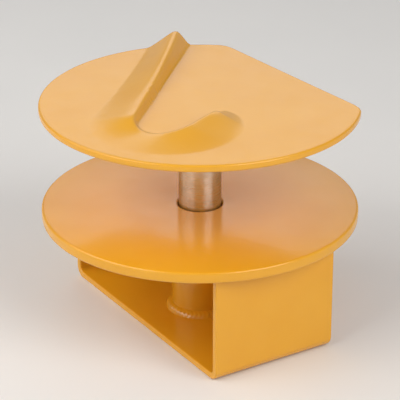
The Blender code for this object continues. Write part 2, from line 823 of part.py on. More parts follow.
def plug_cam():
    """A plate whose rim is a spiral under the ball, so that a quarter turn lifts it by its travel."""
    count = 48
    spread = math.radians(12.0)                    # the spiral runs a little past both ends of the turn
    rise = BALL_TRAVEL / KEY_TURN
    low = CAM_LOW - rise * spread
    high = CAM_LOW + rise * (KEY_TURN + spread)
    ramp = KEY_TURN + 2 * spread
    outer = []
    for i in range(count):
        turn = math.tau * i / count                # measured from the spiral's low end
        if turn <= ramp:
            radius = low + (high - low) * turn / ramp
        else:
            back = (turn - ramp) / (math.tau - ramp)
            radius = low + (high - low) * (0.5 + 0.5 * math.cos(math.pi * back))
        angle = math.pi - spread + turn
        outer.append((radius * math.cos(angle), radius * math.sin(angle)))
    inner = [
        (CAM_BORE * math.cos(math.tau * i / 20), CAM_BORE * math.sin(math.tau * i / 20)) for i in range(20)
    ]
    curve = bpy.data.curves.new("plug_cam", "CURVE")
    curve.dimensions = "2D"
    curve.fill_mode = "BOTH"
    curve.extrude = (CAM_FRONT - CAM_REAR) / 2 * MM
    for loop in (outer, inner):
        line = curve.splines.new("POLY")
        line.points.add(len(loop) - 1)
        for slot, (x, y) in zip(line.points, loop):
            slot.co = (x * MM, y * MM, 0.0, 1.0)
        line.use_cyclic_u = True
    made = place("plug_cam", curve, zinc, KEY_AXIS)
    made.location = (0.0, 0.0, (CAM_FRONT + CAM_REAR) / 2 * MM)


def plug_clip():
    low, high = TAIL_END + 0.4, CAM_REAR - 0.3
    inner, outer, mouth_half = TAIL_RADIUS - 0.2, TAIL_RADIUS + 1.3, 1.2
    profile = [(inner, high), (outer, high), (outer, low), (inner, low)]
    made = turned("plug_clip", profile, zinc, KEY_AXIS, closed=True, steps=24)
    mouth = box_cutter("clip_mouth", (0.0, -mouth_half, low - 1.0), (4.0, mouth_half, high + 1.0), KEY_AXIS)
    cut(made, mouth)


def detent_ball():
    mesh = bpy.data.meshes.new("detent_ball")
    shape = bmesh.new()
    bmesh.ops.create_uvsphere(shape, u_segments=16, v_segments=10, radius=BALL_RADIUS * MM)
    shape.to_mesh(mesh)
    shape.free()
    shade_round(mesh)
    made = place("detent_ball", mesh, chrome, PLUNGER_AXIS)
    made.location = (-BALL_REST * MM, 0.0, BALL_AT * MM)


clear_scene()
MODEL = new_collection("trailer_coupler_lock")
CUTTERS = new_collection("cutters")

# The lock's frames: their Z points along -X, out of the barrel, and their X points up.
ALONG_LOCK = (0.0, -math.pi / 2, 0.0)
TOP_AXIS = axis_empty("plate_swivel_axis", (0.0, 0.0, 0.0), (0.0, 0.0, TOP_TURN))
LOCK_FRAME = axis_empty("lock_axis", (0.0, 0.0, LOCK_Z * MM), ALONG_LOCK)
PLUNGER_AXIS = axis_empty("plunger_axis", (0.0, 0.0, LOCK_Z * MM), ALONG_LOCK)
KEY_AXIS = axis_empty("key_axis", (0.0, 0.0, 0.0), parent=PLUNGER_AXIS)

lower_flange()
guard_channel()
guard_welds()
post_sleeve()
sleeve_welds()
lock_barrel()
barrel_weld()
stop_screw()
return_spring()

top_plate()
locking_post()
post_weld()
o_ring("post_o_ring", SEAL_MAJOR, SEAL_MINOR, SEAL_Z, TOP_AXIS)

lock_shell()
face_cap()
locking_bolt()
o_ring("shell_o_ring", SHELL_SEAL_MAJOR, SHELL_SEAL_MINOR, SHELL_SEAL_AT, PLUNGER_AXIS)
key_plug()
wafers()
plug_cam()
plug_clip()
detent_ball()
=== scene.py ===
"""Looks of the trailer coupler lock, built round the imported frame.

Sizes come from the frame's boxes. Lengths written here are in millimetres, scaled by MM.
"""

import json
import math

import bmesh
import bpy
import numpy as np
from mathutils import Matrix, Vector


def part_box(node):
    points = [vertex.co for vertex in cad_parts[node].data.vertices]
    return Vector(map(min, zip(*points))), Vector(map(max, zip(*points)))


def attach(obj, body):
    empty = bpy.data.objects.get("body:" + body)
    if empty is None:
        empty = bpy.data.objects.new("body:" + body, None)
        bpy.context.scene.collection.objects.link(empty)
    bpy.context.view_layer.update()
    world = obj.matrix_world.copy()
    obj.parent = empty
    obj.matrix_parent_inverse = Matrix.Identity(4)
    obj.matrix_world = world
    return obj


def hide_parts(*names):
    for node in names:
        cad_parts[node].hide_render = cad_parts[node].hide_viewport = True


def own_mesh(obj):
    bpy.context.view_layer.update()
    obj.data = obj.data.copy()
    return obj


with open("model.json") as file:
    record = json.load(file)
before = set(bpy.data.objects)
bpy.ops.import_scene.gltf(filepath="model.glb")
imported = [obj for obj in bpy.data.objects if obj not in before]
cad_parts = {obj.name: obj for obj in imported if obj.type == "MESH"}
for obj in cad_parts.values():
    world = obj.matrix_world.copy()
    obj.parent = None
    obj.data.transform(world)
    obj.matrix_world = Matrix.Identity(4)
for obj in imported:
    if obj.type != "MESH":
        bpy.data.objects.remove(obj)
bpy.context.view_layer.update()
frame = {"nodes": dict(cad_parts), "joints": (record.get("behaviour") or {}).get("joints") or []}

MM = 0.001
GAP = 0.3                               # free space between parts that do not touch
COLLECTION = bpy.context.scene.collection


def low(node, axis):
    """A node's lowest coordinate on an axis (0, 1 or 2), in millimetres."""
    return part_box(node)[0][axis] / MM


def high(node, axis):
    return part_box(node)[1][axis] / MM


def reach(node, direction):
    """How far a node's points lie along a direction from the origin, in millimetres."""
    return max(vertex.co.dot(Vector(direction)) for vertex in frame["nodes"][node].data.vertices) / MM


# Materials. Each is a Principled shader whose colour, roughness and bump come from noise in object space.


class Nodes:
    """A new material's node tree, with short calls to add and join nodes."""

    def __init__(self, name):
        self.material = bpy.data.materials.new(name)
        self.material.use_nodes = True
        self.tree = self.material.node_tree
        self.shader = self.tree.nodes["Principled BSDF"]
        self.place = self.add("ShaderNodeTexCoord").outputs["Object"]

    def add(self, kind, **values):
        node = self.tree.nodes.new(kind)
        for key, value in values.items():
            setattr(node, key, value)
        return node

    def join(self, source, target):
        self.tree.links.new(source, target)

    def scaled(self, scale):
        """Object coordinates, in millimetres, times a scale for each axis."""
        mapping = self.add("ShaderNodeMapping")
        mapping.inputs["Scale"].default_value = [side / MM for side in scale]
        self.join(self.place, mapping.inputs["Vector"])
        return mapping.outputs["Vector"]

    def noise(self, scale, detail=2.0, roughness=0.5):
        """Noise whose cells are about 1/scale millimetres wide."""
        vector = self.scaled((scale,) * 3 if isinstance(scale, (int, float)) else scale)
        node = self.add("ShaderNodeTexNoise")
        node.inputs["Scale"].default_value = 1.0
        node.inputs["Detail"].default_value = detail
        node.inputs["Roughness"].default_value = roughness
        self.join(vector, node.inputs["Vector"])
        return node.outputs["Fac"]

    def ramp(self, source, low_end, high_end, low_at=0.35, high_at=0.65):
        """Maps a value onto a range or, given colours, onto a blend of them."""
        if isinstance(low_end, tuple):
            node = self.add("ShaderNodeValToRGB")
            node.color_ramp.elements[0].position = low_at
            node.color_ramp.elements[0].color = (*low_end, 1.0)
            node.color_ramp.elements[1].position = high_at
            node.color_ramp.elements[1].color = (*high_end, 1.0)
            self.join(source, node.inputs["Fac"])
            return node.outputs["Color"]
        node = self.add("ShaderNodeMapRange")
        node.inputs["From Min"].default_value = low_at
        node.inputs["From Max"].default_value = high_at
        node.inputs["To Min"].default_value = low_end
        node.inputs["To Max"].default_value = high_end
        self.join(source, node.inputs["Value"])
        return node.outputs["Result"]

    def bump(self, source, height, under=None):
        """A bump of a height in millimetres, laid over another one."""
        node = self.add("ShaderNodeBump")
        node.inputs["Strength"].default_value = 1.0
        node.inputs["Distance"].default_value = height * MM
        self.join(source, node.inputs["Height"])
        if under is not None:
            self.join(under, node.inputs["Normal"])
        return node.outputs["Normal"]

    def finish(self, colour=None, roughness=None, normal=None, **values):
        for source, name in ((colour, "Base Color"), (roughness, "Roughness"), (normal, "Normal")):
            if source is not None:
                self.join(source, self.shader.inputs[name])
        for key, value in values.items():
            self.shader.inputs[key.replace("_", " ")].default_value = value
        return self.material


def powder_coat():
    """Glossy yellow powder coat: faint orange peel, with a slight drift in colour and gloss."""
    n = Nodes("yellow_powder_coat")
    drift = n.ramp(n.noise(0.035, 3.0), (0.77, 0.356, 0.012), (0.79, 0.376, 0.017))
    gloss = n.ramp(n.noise(0.12, 3.0), 0.22, 0.27)
    peel = n.bump(n.noise(0.42, 2.0), 0.035)
    grain = n.bump(n.noise(2.6, 1.0), 0.004, peel)
    n.join(peel, n.shader.inputs["Coat Normal"])
    return n.finish(drift, gloss, grain, IOR=1.5, Coat_Weight=0.25, Coat_Roughness=0.09, Coat_IOR=1.5)


def turned_steel(name, tint, deep, along, rough=(0.24, 0.38)):
    """Plated steel off a lathe: fine rings across the given axis and a cloudy plating."""
    n = Nodes(name)
    scale = [0.05, 0.05, 0.05]
    scale[along] = 5.0
    cloud = n.ramp(n.noise(0.16, 4.0), deep, tint)
    rings = n.noise(tuple(scale), 3.0, 0.6)
    finish = n.ramp(rings, rough[0], rough[1], 0.3, 0.7)
    normal = n.bump(rings, 0.006)
    return n.finish(cloud, finish, normal, Metallic=1.0)


def brushed_face(name, tint, deep, rough):
    """Metal brushed in one direction, with fine scratches."""
    n = Nodes(name)
    streaks = n.noise((0.1, 0.35, 9.0), 4.0, 0.65)
    cloud = n.ramp(n.noise(0.3, 3.0), deep, tint)
    finish = n.ramp(streaks, rough[0], rough[1], 0.3, 0.7)
    return n.finish(cloud, finish, n.bump(streaks, 0.004), Metallic=1.0)


def black_rubber():
    n = Nodes("black_rubber")
    skin = n.noise(3.0, 3.0)
    tint = n.ramp(n.noise(0.5, 3.0), (0.012, 0.012, 0.013), (0.028, 0.028, 0.03))
    return n.finish(tint, n.ramp(skin, 0.48, 0.66), n.bump(skin, 0.01), IOR=1.5)


YELLOW = powder_coat()
POST_STEEL = turned_steel("zinc_plated_post", (0.74, 0.73, 0.70), (0.60, 0.60, 0.58), 2)
LOCK_STEEL = turned_steel("zinc_plated_lock", (0.72, 0.71, 0.69), (0.56, 0.56, 0.55), 0)
SPRING_STEEL = turned_steel("spring_steel", (0.55, 0.55, 0.56), (0.40, 0.40, 0.41), 0, (0.2, 0.34))
CHROME = brushed_face("chrome_cap", (0.86, 0.86, 0.87), (0.78, 0.78, 0.80), (0.07, 0.18))
BRASS = brushed_face("brass_plug", (0.80, 0.60, 0.27), (0.62, 0.43, 0.17), (0.2, 0.36))
RUBBER = black_rubber()


# Meshes


def new_object(name, mesh, material, body, nodes):
    """Adds a piece that stands for CAD nodes and rides on their body."""
    made = bpy.data.objects.new(name, mesh)
    COLLECTION.objects.link(made)
    mesh.materials.clear()
    mesh.materials.append(material)
    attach(made, body)
    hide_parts(*nodes)
    return made


def mesh_from(name, points, faces):
    mesh = bpy.data.meshes.new(name)
    mesh.from_pydata([tuple(c * MM for c in point) for point in points], [], faces)
    mesh.validate()
    return mesh


SHARP_ANGLE = 32.0                      # in degrees; edges over it stay sharp
ON_AXIS = 1e-6                          # a radius below this is a point on the axis
ARC_SHARE = 0.45                        # most of a side that a corner's arc may take
SHORTEST_ARC = 1e-4
NEARLY_STRAIGHT = math.radians(170.0)   # corners this open stay as they are


def smooth(mesh, angle=SHARP_ANGLE):
    """Faces that point out, shaded smooth except over sharp edges."""
    shape = bmesh.new()
    shape.from_mesh(mesh)
    bmesh.ops.recalc_face_normals(shape, faces=shape.faces)
    shape.to_mesh(mesh)
    shape.free()
    mesh.shade_smooth()
    mesh.set_sharp_from_angle(angle=math.radians(angle))


def rounded(profile, radius, closed, steps=4):
    """The profile with each inner corner replaced by a small arc, smaller where its sides are short."""
    points = [Vector(p) for p in profile]
    count = len(points)
    out = []
    for i, corner in enumerate(points):
        if not closed and i in (0, count - 1):
            out.append(corner)
            continue
        before, after = points[i - 1] - corner, points[(i + 1) % count] - corner
        trim = min(radius, before.length * ARC_SHARE, after.length * ARC_SHARE)
        if trim < SHORTEST_ARC or before.angle(after) > NEARLY_STRAIGHT:
            out.append(corner)
            continue
        start, end = corner + before.normalized() * trim, corner + after.normalized() * trim
        for k in range(steps + 1):
            t = k / steps
            out.append((1 - t) ** 2 * start + 2 * t * (1 - t) * corner + t**2 * end)
    return [(p.x, p.y) for p in out]


LOCK_Z = (low("lock_barrel", 2) + high("lock_barrel", 2)) / 2
ALONG_LOCK = Matrix.Translation((0, 0, LOCK_Z)) @ Matrix.Rotation(-math.pi / 2, 4, "Y")
UPRIGHT = Matrix.Identity(4)


def lathe_mesh(name, profile, axis=UPRIGHT, fillet=0.3, closed=False, steps=96):
    """A turned solid. Its profile is (radius, distance along the axis).

    An open profile starts and ends on the axis.
    """
    section = rounded(profile, fillet, closed)
    points, faces, rings = [], [], []
    for radius, along in section:
        if radius < ON_AXIS:
            rings.append([len(points)])
            points.append(axis @ Vector((0, 0, along)))
            continue
        rings.append(list(range(len(points), len(points) + steps)))
        for i in range(steps):
            angle = math.tau * i / steps
            points.append(axis @ Vector((radius * math.cos(angle), radius * math.sin(angle), along)))
    pairs = list(zip(rings, rings[1:])) + ([(rings[-1], rings[0])] if closed else [])
    for a, b in pairs:
        for i in range(steps):
            k = (i + 1) % steps
            if len(a) == 1 and len(b) > 1:
                faces.append((a[0], b[i], b[k]))
            elif len(b) == 1 and len(a) > 1:
                faces.append((a[i], b[0], a[k]))
            elif len(a) > 1:
                faces.append((a[i], b[i], b[k], a[k]))
    mesh = mesh_from(name, points, faces)
    smooth(mesh)
    return mesh


def rod_mesh(radius, start, end, steps=48):
    """A plain rod between two points, for cutting."""
    start, end = Vector(start), Vector(end)
    length = (end - start).length
    axis = Matrix.Translation(start) @ (end - start).to_track_quat("Z", "Y").to_matrix().to_4x4()
    profile = [(0, length), (radius, length), (radius, 0), (0, 0)]
    return lathe_mesh("rod", profile, axis, 0.0, steps=steps)


def box_mesh(lowest, highest):
    mesh = bpy.data.meshes.new("box")
    shape = bmesh.new()
    bmesh.ops.create_cube(shape, size=1.0)
    for vertex in shape.verts:
        vertex.co = [MM * (a + b + c * 2 * (b - a)) / 2 for a, b, c in zip(lowest, highest, vertex.co)]
    shape.to_mesh(mesh)
    shape.free()
    return mesh


def carve(mesh, cutters):
    """The mesh with each cutter taken away, under the same name."""
    name = mesh.name
    target = bpy.data.objects.new("carving", mesh)
    COLLECTION.objects.link(target)
    helpers = []
    for cutter_mesh in cutters:
        helper = bpy.data.objects.new("cutter", cutter_mesh)
        COLLECTION.objects.link(helper)
        helpers.append(helper)
        boolean = target.modifiers.new("carve", "BOOLEAN")
        boolean.operation = "DIFFERENCE"
        boolean.solver = "EXACT"
        boolean.object = helper
    bpy.context.view_layer.update()
    evaluated = target.evaluated_get(bpy.context.evaluated_depsgraph_get())
    carved = bpy.data.meshes.new_from_object(evaluated)
    carved.name = name
    for helper in helpers + [target]:
        bpy.data.objects.remove(helper)
    carved.shade_smooth()
    carved.set_sharp_from_angle(angle=math.radians(SHARP_ANGLE))
    return carved


def bevelled(made, width, segments=3, angle=40.0):
    edge = made.modifiers.new("edges", "BEVEL")
    edge.width = width * MM
    edge.segments = segments
    edge.limit_method = "ANGLE"
    edge.angle_limit = math.radians(angle)
    edge.harden_normals = True
    edge.miter_outer = "MITER_ARC"


# The upper disc

HOOK_FOOT = Vector((38.5, 59.5))        # where the inner foot of the pressed ridge meets the rim
HOOK_TURN_AT = Vector((-35.0, -3.5))    # where it starts to turn back
HOOK_RADIUS = 11.5
HOOK_ANGLE = math.radians(157.0)
HOOK_LAST = 27.0                        # length of the ridge's second leg
RIDGE_HEIGHTS = (7.0, 3.2, 0.7, 3.3, 3.6, 2.6)     # rim, turn's start, dip and end, second leg
RIDGE_DIP_SHARE = 0.4                   # of the turn, at which the ridge is lowest
RIDGE_INNER = (6.5, 2.0)                # width of its steep side, at the rim and from the turn on
RIDGE_OUTER = (12.0, 18.0, 20.0)        # width of its gentle side, at the rim, at the turn and after
RIDGE_ROUNDING = 2.2                    # of its crest
RIDGE_SLOPES = (1.1, 1.2)               # how hollow the steep and the gentle side are
RIDGE_TIP_SHARE = 1.0 / 3.0             # of the second leg, over which it runs out
TOP_SHEET = 3.0
TOP_TURN = math.radians(4.5)
TOP_RADIUS = -low("top_plate", 0)
TOP_FLAT_X = reach("top_plate", (math.cos(TOP_TURN), math.sin(TOP_TURN), 0.0))
EYE_TOP = high("post_weld", 2) + GAP    # underside of the upper disc
TOP_LEVEL = EYE_TOP + TOP_SHEET
TOP_EDGE = 0.7                          # radius of the disc's rounded edge
TOP_CORNER_EASE = 0.75                  # by which the corners of the straight cut are taken back
TOP_CORNER_SPREAD = math.radians(1.6)


def hook_path(x, y):
    """Distance outwards from the ridge's inner foot, and the distance travelled along it."""
    first = (HOOK_TURN_AT - HOOK_FOOT).normalized()
    first_length = (HOOK_TURN_AT - HOOK_FOOT).length
    centre = HOOK_TURN_AT + Vector((-first.y, first.x)) * HOOK_RADIUS
    heading = math.atan2(first.y, first.x) + HOOK_ANGLE
    last = Vector((math.cos(heading), math.sin(heading)))
    last_start = centre + Vector((last.y, -last.x)) * HOOK_RADIUS
    turn_length = HOOK_RADIUS * HOOK_ANGLE

    along = (x - HOOK_FOOT.x) * first.x + (y - HOOK_FOOT.y) * first.y
    side = (x - HOOK_FOOT.x) * first.y - (y - HOOK_FOOT.y) * first.x
    on_last = (x - last_start.x) * last.x + (y - last_start.y) * last.y
    last_side = (x - last_start.x) * last.y - (y - last_start.y) * last.x
    angle = np.arctan2(y - centre.y, x - centre.x) - math.atan2(-first.x, first.y)
    angle = (angle + math.pi) % math.tau - math.pi
    angle = np.where(angle < -0.5, angle + math.tau, angle)
    in_turn = (angle >= 0) & (angle <= HOOK_ANGLE) & (along >= first_length)
    in_last = (on_last > 0) & (last_side > 0) & ~in_turn
    side = np.where(in_turn, np.hypot(x - centre.x, y - centre.y) - HOOK_RADIUS, side)
    along = np.where(in_turn, first_length + HOOK_RADIUS * angle, along)
    side = np.where(in_last, last_side, side)
    along = np.where(in_last, first_length + turn_length + on_last, along)
    outside = in_turn | in_last | (along < first_length)
    return np.where(outside, side, -1.0), along, first_length, first_length + turn_length


def eased(values, stops, heights):
    """Heights between the stops, with no kink at a stop."""
    stops, heights = np.array(stops), np.array(heights)
    index = np.clip(np.searchsorted(stops, values, side="right") - 1, 0, len(stops) - 2)
    share = np.clip((values - stops[index]) / (stops[index + 1] - stops[index]), 0.0, 1.0)
    share = share**2 * (3.0 - 2.0 * share)
    return heights[index] + (heights[index + 1] - heights[index]) * share


def ridge_height(x, y):
    """Height of the pressed ridge: steep inside its hook, and falling gently on the outer side."""
    side, along, turn_at, last_at = hook_path(x, y)
    share = np.clip(along / turn_at, 0.0, 1.0)
    tip = np.clip((along - last_at) / HOOK_LAST, 0.0, 1.0)
    round_off = np.sqrt(1.0 - tip**2)
    inner_rim, inner_turn = RIDGE_INNER
    inner = inner_turn + (inner_rim - inner_turn) * (1.0 - share) ** 3
    outer = np.interp(along, [0.0, turn_at, last_at], RIDGE_OUTER) * np.maximum(round_off, 0.02)
    dip_at = turn_at + (last_at - turn_at) * RIDGE_DIP_SHARE
    stops = [0.0, turn_at, dip_at, last_at, last_at + 0.5 * HOOK_LAST, last_at + HOOK_LAST]
    height = eased(along, stops, RIDGE_HEIGHTS) * np.minimum(1.0, (1.0 - tip) / RIDGE_TIP_SHARE)
    from_crest = side - inner
    width = np.where(from_crest < 0, inner, outer)
    travelled = np.hypot(from_crest, RIDGE_ROUNDING) - RIDGE_ROUNDING
    fall = np.clip(travelled / (np.hypot(width, RIDGE_ROUNDING) - RIDGE_ROUNDING), 0.0, 1.0)
    steep, gentle = RIDGE_SLOPES
    section = np.where(from_crest < 0, (1.0 - fall) ** steep, (1.0 - fall) ** gentle)
    return np.where((side > 0) & (tip < 1.0), height * section, 0.0)


def top_plate():
    """A pressed sheet: rings of points from the middle over the rounded rim and back underneath."""
    around, rings = 360, 84
    corner = math.acos(TOP_FLAT_X / TOP_RADIUS)
    angles = np.arange(around) * math.tau / around
    folded = np.abs((angles + math.pi) % math.tau - math.pi)
    rim = np.where(folded < corner, TOP_FLAT_X / np.cos(np.minimum(folded, corner)), TOP_RADIUS)
    rim = rim - TOP_CORNER_EASE * np.exp(-(((folded - corner) / TOP_CORNER_SPREAD) ** 2))
    steps = np.linspace(0.0, 1.0, rings + 1)[1:]
    arc = [math.pi / 2 * i / 4 for i in range(5)]
    loops = []

    def ring(share, inset, drop, underside):
        radius = (rim - TOP_EDGE) * share if share < 1 else rim - inset
        x, y = radius * np.cos(angles), radius * np.sin(angles)
        z = TOP_LEVEL + ridge_height(x, y) - drop - (TOP_SHEET if underside else 0.0)
        turned_x = x * math.cos(TOP_TURN) - y * math.sin(TOP_TURN)
        turned_y = x * math.sin(TOP_TURN) + y * math.cos(TOP_TURN)
        loops.append(np.stack([turned_x, turned_y, z], 1))

    for s in steps[:-1]:
        ring(s, 0, 0, False)
    for a in arc:
        ring(1, TOP_EDGE * (1 - math.sin(a)), TOP_EDGE * (1 - math.cos(a)), False)
    for a in reversed(arc):
        ring(1, TOP_EDGE * (1 - math.sin(a)), -TOP_EDGE * (1 - math.cos(a)), True)
    for s in reversed(steps[:-1]):
        ring(s, 0, 0, True)
    points = [(0.0, 0.0, TOP_LEVEL)]
    points += [tuple(point) for loop in loops for point in loop]
    points.append((0.0, 0.0, EYE_TOP))
    faces = []
    for i in range(around):
        k = (i + 1) % around
        faces.append((0, 1 + i, 1 + k))
        last = 1 + (len(loops) - 1) * around
        faces.append((len(points) - 1, last + k, last + i))
        for j in range(len(loops) - 1):
            a, b = 1 + j * around, 1 + (j + 1) * around
            faces.append((a + i, b + i, b + k, a + k))
    mesh = mesh_from("pressed_top_plate", points, faces)
    smooth(mesh, 50.0)
    new_object("pressed_top_plate", mesh, YELLOW, "top", ["top_plate"])


# Root body

FLANGE_TOP = high("lower_flange", 2)
FLANGE_BOTTOM = low("lower_flange", 2)
FLANGE_RADIUS = high("lower_flange", 0)
POST_RADIUS = high("locking_post", 0)
POST_HOLE = POST_RADIUS + 0.4           # radius of the hole that the post slides in
SLEEVE_RADIUS = high("post_sleeve", 0)


def lower_flange():
    profile = [
        (POST_HOLE, FLANGE_TOP),
        (FLANGE_RADIUS, FLANGE_TOP),
        (FLANGE_RADIUS, FLANGE_BOTTOM),
        (POST_HOLE, FLANGE_BOTTOM),
    ]
    mesh = lathe_mesh("lower_disc", profile, fillet=1.1, closed=True, steps=256)
    new_object("lower_disc", mesh, YELLOW, "base", ["lower_flange"])


GUARD_HALF_WIDTH = high("guard_channel", 1)
GUARD_HALF_LENGTH = high("guard_channel", 0)
GUARD_SHEET = 3.0
GUARD_BEND = 5.0                        # outer radius of its bends
GUARD_LEG = 3.0                         # leg of the beads that join it to the disc
SLEEVE_LEG = 2.6
SLEEVE_WINDOW = 4.4                     # radius of the bolt's hole in the sleeve
SLEEVE_BEAD_GAP = math.radians(42.0)    # on each side of the barrel, where the upper bead stops


def guard_channel():
    """A strip bent to a U, with round bends inside and out and eased edges."""
    def path(radius, inset):
        half = GUARD_HALF_WIDTH - inset
        points = [(-half, FLANGE_BOTTOM)]
        centre = (-half + radius, inset + radius)
        for i in range(13):
            a = math.pi + math.pi / 2 * i / 12
            points.append((centre[0] + radius * math.cos(a), centre[1] + radius * math.sin(a)))
        return points + [(-y, z) for y, z in reversed(points)]

    outline = path(GUARD_BEND, 0.0) + path(GUARD_BEND - GUARD_SHEET, GUARD_SHEET)[::-1]
    count = len(outline)
    points = [(x, y, z) for x in (-GUARD_HALF_LENGTH, GUARD_HALF_LENGTH) for y, z in outline]
    faces = [(i, (i + 1) % count, count + (i + 1) % count, count + i) for i in range(count)]
    half = count // 2
    for base in (0, count):
        for i in range(half - 1):
            faces.append((base + i, base + i + 1, base + count - 2 - i, base + count - 1 - i))
    mesh = mesh_from("bent_guard", points, faces)
    smooth(mesh, 35.0)
    made = new_object("bent_guard", mesh, YELLOW, "base", ["guard_channel"])
    bevelled(made, 0.7, 3, 50.0)


WELD_PITCH = 1.7                        # from one ripple of a bead to the next
WELD_OVERLAP = 0.25                     # by which a bead reaches into its corner
WELD_STEP = 0.28                        # between the sections of a round bead, about
WELD_SECTION = 9                        # points across a bead's face
WELD_TAPER = 1.6                        # length of a bead's end, in legs
WELD_END = 0.25                         # its size at the very end, as a share
WELD_TRAIL = 0.55                       # by which a ripple lags at the middle, in ripples
WELD_SWELL = 0.03                       # by which its size varies, as a share
WELD_CROWN = (0.22, 0.06)               # how far it bulges in legs, and how much of that is ripple


def weld_bead(name, corners, sides, leg, closed, nodes, body="base"):
    """A fillet weld along its corner points.

    sides gives, at each point, the two directions up the two surfaces that it joins.
    """
    count = len(corners)
    crown, crown_ripple = WELD_CROWN
    travelled = [0.0]
    for a, b in zip(corners, corners[1:]):
        travelled.append(travelled[-1] + (b - a).length)
    points, faces = [], []
    for i, (corner, (one, two)) in enumerate(zip(corners, sides)):
        end_taper = 1.0
        if not closed:
            near = min(travelled[i], travelled[-1] - travelled[i])
            grown = (near / (WELD_TAPER * leg)) ** 0.5
            end_taper = min(1.0, WELD_END + (1.0 - WELD_END) * grown)
        points.append(corner - (one + two) * WELD_OVERLAP)
        for k in range(WELD_SECTION):
            t = k / (WELD_SECTION - 1)
            bow = math.sin(math.pi * t)
            phase = travelled[i] / WELD_PITCH - WELD_TRAIL * bow
            ripple = 0.5 + 0.5 * math.cos(math.tau * phase)
            swell = 1.0 + WELD_SWELL * (ripple + math.sin(travelled[i] * 0.9))
            size = leg * end_taper * swell
            out = crown + crown_ripple * ripple
            flat = corner + one * size * (1 - t) + two * size * t
            points.append(flat + (one + two) * size * out * bow * 0.5)
    width = WELD_SECTION + 1
    for i in range(count if closed else count - 1):
        j = (i + 1) % count
        for k in range(width):
            m = (k + 1) % width
            faces.append((i * width + k, i * width + m, j * width + m, j * width + k))
    if not closed:
        faces.append(tuple(range(width)))
        faces.append(tuple(reversed(range((count - 1) * width, count * width))))
    mesh = mesh_from(name, points, faces)
    smooth(mesh, 60.0)
    new_object(name, mesh, YELLOW, body, nodes)


def ring_bead(name, radius, level, up, leg, nodes, body="base", start=-math.pi, sweep=math.tau):
    """A bead round an upright tube at a level plate. up is +1 where the plate is under it."""
    closed = sweep == math.tau
    count = round(sweep * radius / WELD_STEP)
    corners, sides = [], []
    for i in range(count if closed else count + 1):
        a = start + sweep * i / count
        out = Vector((math.cos(a), math.sin(a), 0.0))
        corners.append(out * radius + Vector((0, 0, level)))
        sides.append((out, Vector((0, 0, up))))
    weld_bead(name, corners, sides, leg, closed, nodes, body)


def guard_beads():
    for name, node, side in (
        ("guard_bead_left", "guard_weld_left", 1),
        ("guard_bead_right", "guard_weld_right", -1),
    ):
        half = high(node, 0)
        count = round(2 * half / 0.3)
        y = side * (GUARD_HALF_WIDTH - GUARD_SHEET)
        corners = [Vector((-half + 2 * half * i / count, y, FLANGE_BOTTOM)) for i in range(count + 1)]
        sides = [(Vector((0, -side, 0)), Vector((0, 0, -1)))] * (count + 1)
        weld_bead(name, corners, sides, GUARD_LEG, False, [node])


def sleeve_and_beads():
    top, bottom = FLANGE_BOTTOM, GUARD_SHEET
    profile = [(POST_HOLE, top), (SLEEVE_RADIUS, top), (SLEEVE_RADIUS, bottom), (POST_HOLE, bottom)]
    tube = lathe_mesh("sleeve_tube", profile, fillet=0.25, closed=True, steps=128)
    window = rod_mesh(SLEEVE_WINDOW, (-16, 0, LOCK_Z), (-6, 0, LOCK_Z))
    mesh = carve(tube, [window])
    new_object("sleeve_tube", mesh, YELLOW, "base", ["post_sleeve"])
    ring_bead("sleeve_bead_lower", SLEEVE_RADIUS, bottom, 1, SLEEVE_LEG, ["sleeve_weld_lower"])
    ring_bead(
        "sleeve_bead_upper", SLEEVE_RADIUS, top, -1, SLEEVE_LEG, ["sleeve_weld_upper"],
        start=SLEEVE_BEAD_GAP - math.pi, sweep=math.tau - 2 * SLEEVE_BEAD_GAP,
    )


BARREL_RADIUS = high("lock_barrel", 1)
BARREL_WALL = 1.8
BARREL_BORE = BARREL_RADIUS - BARREL_WALL
BARREL_ROOT = 5.0                       # where it starts inside the sleeve's outline, before coping
BARREL_COPE = 1.2                       # by which its coped end sinks into the sleeve's wall
BARREL_LEG = 2.4
BALL_HOLE = 1.5
BARREL_MOUTH = -low("lock_barrel", 0)
PUSH_TRAVEL = next(j for j in frame["joints"] if j["name"] == "plunger_push")["range_m"][1] / MM
BALL_AT = -(low("detent_ball", 0) + high("detent_ball", 0)) / 2
STOP_AT = -(low("stop_screw", 0) + high("stop_screw", 0)) / 2
STOP_HOLE = 1.5
STOP_RADIUS = 1.25
STOP_POINT = (0.9, 0.8)                 # radius and length of the screw's dog point


